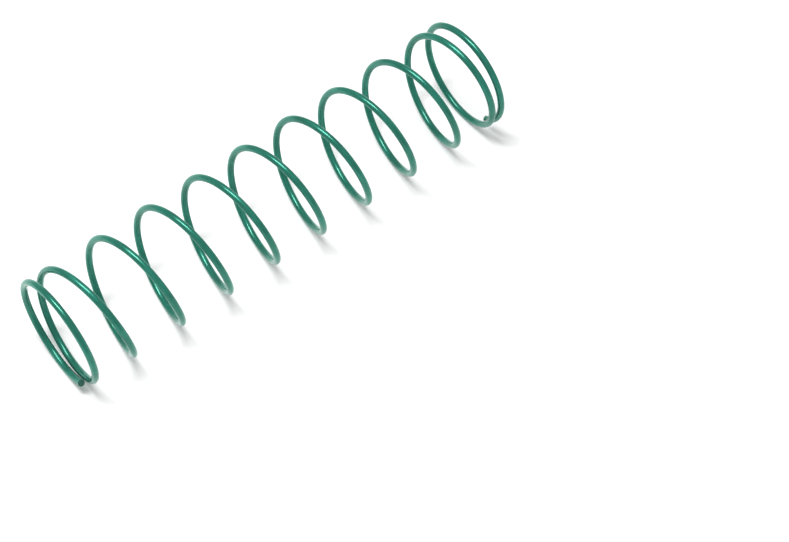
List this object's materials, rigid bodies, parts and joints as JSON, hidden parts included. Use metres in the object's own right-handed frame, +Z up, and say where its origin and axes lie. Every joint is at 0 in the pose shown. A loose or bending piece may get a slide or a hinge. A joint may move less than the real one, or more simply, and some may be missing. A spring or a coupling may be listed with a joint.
{
  "type": "coil spring",
  "caption": "Right-handed helical compression spring of round wire, glossy blue-green paint, closed unground ends, for a small model-car damper; lying on its side.",
  "frame": {"origin": "on the surface that the spring lies on, below the middle of its free length", "axes": "+X along the coil axis from the lower end coil to the upper one, +Z up; the axis is 10.85 mm above the surface"},
  "size_m": [0.0936, 0.0217, 0.0217],
  "materials": {
    "paint": "glossy blue-green paint baked on spring-steel wire"
  },
  "bodies": {
    "lower_end_coil": {"lower_end_coil_1": "paint", "lower_end_coil_2": "paint", "lower_end_coil_3": "paint", "lower_end_coil_4": "paint"},
    "quarter_turn_01": {"quarter_turn_01": "paint"},
    "quarter_turn_02": {"quarter_turn_02": "paint"},
    "quarter_turn_03": {"quarter_turn_03": "paint"},
    "quarter_turn_04": {"quarter_turn_04": "paint"},
    "quarter_turn_05": {"quarter_turn_05": "paint"},
    "quarter_turn_06": {"quarter_turn_06": "paint"},
    "quarter_turn_07": {"quarter_turn_07": "paint"},
    "quarter_turn_08": {"quarter_turn_08": "paint"},
    "quarter_turn_09": {"quarter_turn_09": "paint"},
    "quarter_turn_10": {"quarter_turn_10": "paint"},
    "quarter_turn_11": {"quarter_turn_11": "paint"},
    "quarter_turn_12": {"quarter_turn_12": "paint"},
    "quarter_turn_13": {"quarter_turn_13": "paint"},
    "quarter_turn_14": {"quarter_turn_14": "paint"},
    "quarter_turn_15": {"quarter_turn_15": "paint"},
    "quarter_turn_16": {"quarter_turn_16": "paint"},
    "quarter_turn_17": {"quarter_turn_17": "paint"},
    "quarter_turn_18": {"quarter_turn_18": "paint"},
    "quarter_turn_19": {"quarter_turn_19": "paint"},
    "quarter_turn_20": {"quarter_turn_20": "paint"},
    "quarter_turn_21": {"quarter_turn_21": "paint"},
    "quarter_turn_22": {"quarter_turn_22": "paint"},
    "quarter_turn_23": {"quarter_turn_23": "paint"},
    "quarter_turn_24": {"quarter_turn_24": "paint"},
    "quarter_turn_25": {"quarter_turn_25": "paint"},
    "quarter_turn_26": {"quarter_turn_26": "paint"},
    "quarter_turn_27": {"quarter_turn_27": "paint"},
    "quarter_turn_28": {"quarter_turn_28": "paint"},
    "quarter_turn_29": {"quarter_turn_29": "paint"},
    "quarter_turn_30": {"quarter_turn_30": "paint"},
    "quarter_turn_31": {"quarter_turn_31": "paint"},
    "quarter_turn_32": {"quarter_turn_32": "paint"},
    "quarter_turn_33": {"quarter_turn_33": "paint"},
    "quarter_turn_34": {"quarter_turn_34": "paint"},
    "quarter_turn_35": {"quarter_turn_35": "paint"},
    "quarter_turn_36": {"quarter_turn_36": "paint"},
    "upper_end_coil": {"upper_end_coil_1": "paint", "upper_end_coil_2": "paint", "upper_end_coil_3": "paint", "upper_end_coil_4": "paint"}
  },
  "joints": [
    {"name": "turn_1_twist_a", "type": "hinge", "parent": "lower_end_coil", "child": "quarter_turn_01", "pos_m": [-0.04464, -0.00525, 0.00211], "axis": [-0.0309, -0.2408, 0.9701], "range_deg": [0, 3.97], "stiffness_Nm_per_rad": 0.682},
    {"name": "turn_1_twist_b", "type": "hinge", "parent": "quarter_turn_01", "child": "quarter_turn_02", "pos_m": [-0.04325, 0.00874, 0.0056], "axis": [-0.1226, -0.7663, -0.6307], "range_deg": [0, 9.14], "stiffness_Nm_per_rad": 0.682},
    {"name": "turn_1_twist_c", "type": "hinge", "parent": "quarter_turn_02", "child": "quarter_turn_03", "pos_m": [-0.04078, 0.00525, 0.01959], "axis": [-0.1598, 0.8316, -0.5319], "range_deg": [0, 11.96], "stiffness_Nm_per_rad": 0.682},
    {"name": "turn_1_twist_d", "type": "hinge", "parent": "quarter_turn_03", "child": "quarter_turn_04", "pos_m": [-0.03818, -0.00874, 0.0161], "axis": [-0.1599, 0.5084, 0.8461], "range_deg": [0, 12.27], "stiffness_Nm_per_rad": 0.682},
    {"name": "turn_1_twist_e", "type": "hinge", "parent": "quarter_turn_04", "child": "quarter_turn_05", "pos_m": [-0.03559, -0.00525, 0.00211], "axis": [-0.1599, -0.8461, 0.5084], "range_deg": [0, 12.27], "stiffness_Nm_per_rad": 0.682},
    {"name": "turn_2_twist_a", "type": "hinge", "parent": "quarter_turn_05", "child": "quarter_turn_06", "pos_m": [-0.03299, 0.00874, 0.0056], "axis": [-0.1599, -0.5084, -0.8461], "range_deg": [0, 12.27], "stiffness_Nm_per_rad": 0.682},
    {"name": "turn_2_twist_b", "type": "hinge", "parent": "quarter_turn_06", "child": "quarter_turn_07", "pos_m": [-0.0304, 0.00525, 0.01959], "axis": [-0.1599, 0.8461, -0.5084], "range_deg": [0, 12.27], "stiffness_Nm_per_rad": 0.682},
    {"name": "turn_2_twist_c", "type": "hinge", "parent": "quarter_turn_07", "child": "quarter_turn_08", "pos_m": [-0.0278, -0.00874, 0.0161], "axis": [-0.1599, 0.5084, 0.8461], "range_deg": [0, 12.27], "stiffness_Nm_per_rad": 0.682},
    {"name": "turn_2_twist_d", "type": "hinge", "parent": "quarter_turn_08", "child": "quarter_turn_09", "pos_m": [-0.02521, -0.00525, 0.00211], "axis": [-0.1599, -0.8461, 0.5084], "range_deg": [0, 12.27], "stiffness_Nm_per_rad": 0.682},
    {"name": "turn_3_twist_a", "type": "hinge", "parent": "quarter_turn_09", "child": "quarter_turn_10", "pos_m": [-0.02261, 0.00874, 0.0056], "axis": [-0.1599, -0.5084, -0.8461], "range_deg": [0, 12.27], "stiffness_Nm_per_rad": 0.682},
    {"name": "turn_3_twist_b", "type": "hinge", "parent": "quarter_turn_10", "child": "quarter_turn_11", "pos_m": [-0.02002, 0.00525, 0.01959], "axis": [-0.1599, 0.8461, -0.5084], "range_deg": [0, 12.27], "stiffness_Nm_per_rad": 0.682},
    {"name": "turn_3_twist_c", "type": "hinge", "parent": "quarter_turn_11", "child": "quarter_turn_12", "pos_m": [-0.01742, -0.00874, 0.0161], "axis": [-0.1599, 0.5084, 0.8461], "range_deg": [0, 12.27], "stiffness_Nm_per_rad": 0.682},
    {"name": "turn_3_twist_d", "type": "hinge", "parent": "quarter_turn_12", "child": "quarter_turn_13", "pos_m": [-0.01483, -0.00525, 0.00211], "axis": [-0.1599, -0.8461, 0.5084], "range_deg": [0, 12.27], "stiffness_Nm_per_rad": 0.682},
    {"name": "turn_4_twist_a", "type": "hinge", "parent": "quarter_turn_13", "child": "quarter_turn_14", "pos_m": [-0.01223, 0.00874, 0.0056], "axis": [-0.1599, -0.5084, -0.8461], "range_deg": [0, 12.27], "stiffness_Nm_per_rad": 0.682},
    {"name": "turn_4_twist_b", "type": "hinge", "parent": "quarter_turn_14", "child": "quarter_turn_15", "pos_m": [-0.00964, 0.00525, 0.01959], "axis": [-0.1599, 0.8461, -0.5084], "range_deg": [0, 12.27], "stiffness_Nm_per_rad": 0.682},
    {"name": "turn_4_twist_c", "type": "hinge", "parent": "quarter_turn_15", "child": "quarter_turn_16", "pos_m": [-0.00704, -0.00874, 0.0161], "axis": [-0.1599, 0.5084, 0.8461], "range_deg": [0, 12.27], "stiffness_Nm_per_rad": 0.682},
    {"name": "turn_4_twist_d", "type": "hinge", "parent": "quarter_turn_16", "child": "quarter_turn_17", "pos_m": [-0.00445, -0.00525, 0.00211], "axis": [-0.1599, -0.8461, 0.5084], "range_deg": [0, 12.27], "stiffness_Nm_per_rad": 0.682},
    {"name": "turn_5_twist_a", "type": "hinge", "parent": "quarter_turn_17", "child": "quarter_turn_18", "pos_m": [-0.00185, 0.00874, 0.0056], "axis": [-0.1599, -0.5084, -0.8461], "range_deg": [0, 12.27], "stiffness_Nm_per_rad": 0.682},
    {"name": "turn_5_twist_b", "type": "hinge", "parent": "quarter_turn_18", "child": "quarter_turn_19", "pos_m": [0.00074, 0.00525, 0.01959], "axis": [-0.1599, 0.8461, -0.5084], "range_deg": [0, 12.27], "stiffness_Nm_per_rad": 0.682},
    {"name": "turn_5_twist_c", "type": "hinge", "parent": "quarter_turn_19", "child": "quarter_turn_20", "pos_m": [0.00334, -0.00874, 0.0161], "axis": [-0.1599, 0.5084, 0.8461], "range_deg": [0, 12.27], "stiffness_Nm_per_rad": 0.682},
    {"name": "turn_5_twist_d", "type": "hinge", "parent": "quarter_turn_20", "child": "quarter_turn_21", "pos_m": [0.00593, -0.00525, 0.00211], "axis": [-0.1599, -0.8461, 0.5084], "range_deg": [0, 12.27], "stiffness_Nm_per_rad": 0.682},
    {"name": "turn_6_twist_a", "type": "hinge", "parent": "quarter_turn_21", "child": "quarter_turn_22", "pos_m": [0.00853, 0.00874, 0.0056], "axis": [-0.1599, -0.5084, -0.8461], "range_deg": [0, 12.27], "stiffness_Nm_per_rad": 0.682},
    {"name": "turn_6_twist_b", "type": "hinge", "parent": "quarter_turn_22", "child": "quarter_turn_23", "pos_m": [0.01112, 0.00525, 0.01959], "axis": [-0.1599, 0.8461, -0.5084], "range_deg": [0, 12.27], "stiffness_Nm_per_rad": 0.682},
    {"name": "turn_6_twist_c", "type": "hinge", "parent": "quarter_turn_23", "child": "quarter_turn_24", "pos_m": [0.01372, -0.00874, 0.0161], "axis": [-0.1599, 0.5084, 0.8461], "range_deg": [0, 12.27], "stiffness_Nm_per_rad": 0.682},
    {"name": "turn_6_twist_d", "type": "hinge", "parent": "quarter_turn_24", "child": "quarter_turn_25", "pos_m": [0.01631, -0.00525, 0.00211], "axis": [-0.1599, -0.8461, 0.5084], "range_deg": [0, 12.27], "stiffness_Nm_per_rad": 0.682},
    {"name": "turn_7_twist_a", "type": "hinge", "parent": "quarter_turn_25", "child": "quarter_turn_26", "pos_m": [0.01891, 0.00874, 0.0056], "axis": [-0.1599, -0.5084, -0.8461], "range_deg": [0, 12.27], "stiffness_Nm_per_rad": 0.682},
    {"name": "turn_7_twist_b", "type": "hinge", "parent": "quarter_turn_26", "child": "quarter_turn_27", "pos_m": [0.0215, 0.00525, 0.01959], "axis": [-0.1599, 0.8461, -0.5084], "range_deg": [0, 12.27], "stiffness_Nm_per_rad": 0.682},
    {"name": "turn_7_twist_c", "type": "hinge", "parent": "quarter_turn_27", "child": "quarter_turn_28", "pos_m": [0.0241, -0.00874, 0.0161], "axis": [-0.1599, 0.5084, 0.8461], "range_deg": [0, 12.27], "stiffness_Nm_per_rad": 0.682},
    {"name": "turn_7_twist_d", "type": "hinge", "parent": "quarter_turn_28", "child": "quarter_turn_29", "pos_m": [0.02669, -0.00525, 0.00211], "axis": [-0.1599, -0.8461, 0.5084], "range_deg": [0, 12.27], "stiffness_Nm_per_rad": 0.682},
    {"name": "turn_8_twist_a", "type": "hinge", "parent": "quarter_turn_29", "child": "quarter_turn_30", "pos_m": [0.02929, 0.00874, 0.0056], "axis": [-0.1599, -0.5084, -0.8461], "range_deg": [0, 12.27], "stiffness_Nm_per_rad": 0.682},
    {"name": "turn_8_twist_b", "type": "hinge", "parent": "quarter_turn_30", "child": "quarter_turn_31", "pos_m": [0.03188, 0.00525, 0.01959], "axis": [-0.1599, 0.8461, -0.5084], "range_deg": [0, 12.27], "stiffness_Nm_per_rad": 0.682},
    {"name": "turn_8_twist_c", "type": "hinge", "parent": "quarter_turn_31", "child": "quarter_turn_32", "pos_m": [0.03448, -0.00874, 0.0161], "axis": [-0.1599, 0.5083, 0.8462], "range_deg": [0, 12.27], "stiffness_Nm_per_rad": 0.682},
    {"name": "turn_8_twist_d", "type": "hinge", "parent": "quarter_turn_32", "child": "quarter_turn_33", "pos_m": [0.03707, -0.00525, 0.00211], "axis": [-0.1593, -0.8578, 0.4887], "range_deg": [0, 12], "stiffness_Nm_per_rad": 0.682},
    {"name": "turn_9_twist_a", "type": "hinge", "parent": "quarter_turn_33", "child": "quarter_turn_34", "pos_m": [0.03957, 0.00874, 0.0056], "axis": [-0.145, -0.4306, -0.8908], "range_deg": [0, 10.81], "stiffness_Nm_per_rad": 0.682},
    {"name": "turn_9_twist_b", "type": "hinge", "parent": "quarter_turn_34", "child": "quarter_turn_35", "pos_m": [0.04171, 0.00525, 0.01959], "axis": [-0.1166, 0.925, -0.3617], "range_deg": [0, 8.52], "stiffness_Nm_per_rad": 0.682},
    {"name": "turn_9_twist_c", "type": "hinge", "parent": "quarter_turn_35", "child": "quarter_turn_36", "pos_m": [0.04335, -0.00874, 0.0161], "axis": [-0.0815, 0.2644, 0.961], "range_deg": [0, 5.69], "stiffness_Nm_per_rad": 0.682},
    {"name": "turn_9_twist_d", "type": "hinge", "parent": "quarter_turn_36", "child": "upper_end_coil", "pos_m": [0.04444, -0.00525, 0.00211], "axis": [-0.037, -0.9694, -0.2426], "range_deg": [0, 2.8], "stiffness_Nm_per_rad": 0.682}
  ],
  "couplings": [
    {"joint": "turn_1_twist_b", "follows": "turn_1_twist_a", "ratio": 2.3035},
    {"joint": "turn_1_twist_c", "follows": "turn_1_twist_a", "ratio": 3.0136},
    {"joint": "turn_1_twist_d", "follows": "turn_1_twist_a", "ratio": 3.0938},
    {"joint": "turn_1_twist_e", "follows": "turn_1_twist_a", "ratio": 3.0938},
    {"joint": "turn_2_twist_b", "follows": "turn_2_twist_a", "ratio": 1},
    {"joint": "turn_2_twist_c", "follows": "turn_2_twist_a", "ratio": 1},
    {"joint": "turn_2_twist_d", "follows": "turn_2_twist_a", "ratio": 1},
    {"joint": "turn_3_twist_b", "follows": "turn_3_twist_a", "ratio": 1},
    {"joint": "turn_3_twist_c", "follows": "turn_3_twist_a", "ratio": 1},
    {"joint": "turn_3_twist_d", "follows": "turn_3_twist_a", "ratio": 1},
    {"joint": "turn_4_twist_b", "follows": "turn_4_twist_a", "ratio": 1},
    {"joint": "turn_4_twist_c", "follows": "turn_4_twist_a", "ratio": 1},
    {"joint": "turn_4_twist_d", "follows": "turn_4_twist_a", "ratio": 1},
    {"joint": "turn_5_twist_b", "follows": "turn_5_twist_a", "ratio": 1},
    {"joint": "turn_5_twist_c", "follows": "turn_5_twist_a", "ratio": 1},
    {"joint": "turn_5_twist_d", "follows": "turn_5_twist_a", "ratio": 1},
    {"joint": "turn_6_twist_b", "follows": "turn_6_twist_a", "ratio": 1},
    {"joint": "turn_6_twist_c", "follows": "turn_6_twist_a", "ratio": 1},
    {"joint": "turn_6_twist_d", "follows": "turn_6_twist_a", "ratio": 1},
    {"joint": "turn_7_twist_b", "follows": "turn_7_twist_a", "ratio": 1},
    {"joint": "turn_7_twist_c", "follows": "turn_7_twist_a", "ratio": 1},
    {"joint": "turn_7_twist_d", "follows": "turn_7_twist_a", "ratio": 1},
    {"joint": "turn_8_twist_b", "follows": "turn_8_twist_a", "ratio": 1},
    {"joint": "turn_8_twist_c", "follows": "turn_8_twist_a", "ratio": 0.99992},
    {"joint": "turn_8_twist_d", "follows": "turn_8_twist_a", "ratio": 0.97808},
    {"joint": "turn_9_twist_b", "follows": "turn_9_twist_a", "ratio": 0.78817},
    {"joint": "turn_9_twist_c", "follows": "turn_9_twist_a", "ratio": 0.52575},
    {"joint": "turn_9_twist_d", "follows": "turn_9_twist_a", "ratio": 0.25881}
  ]
}
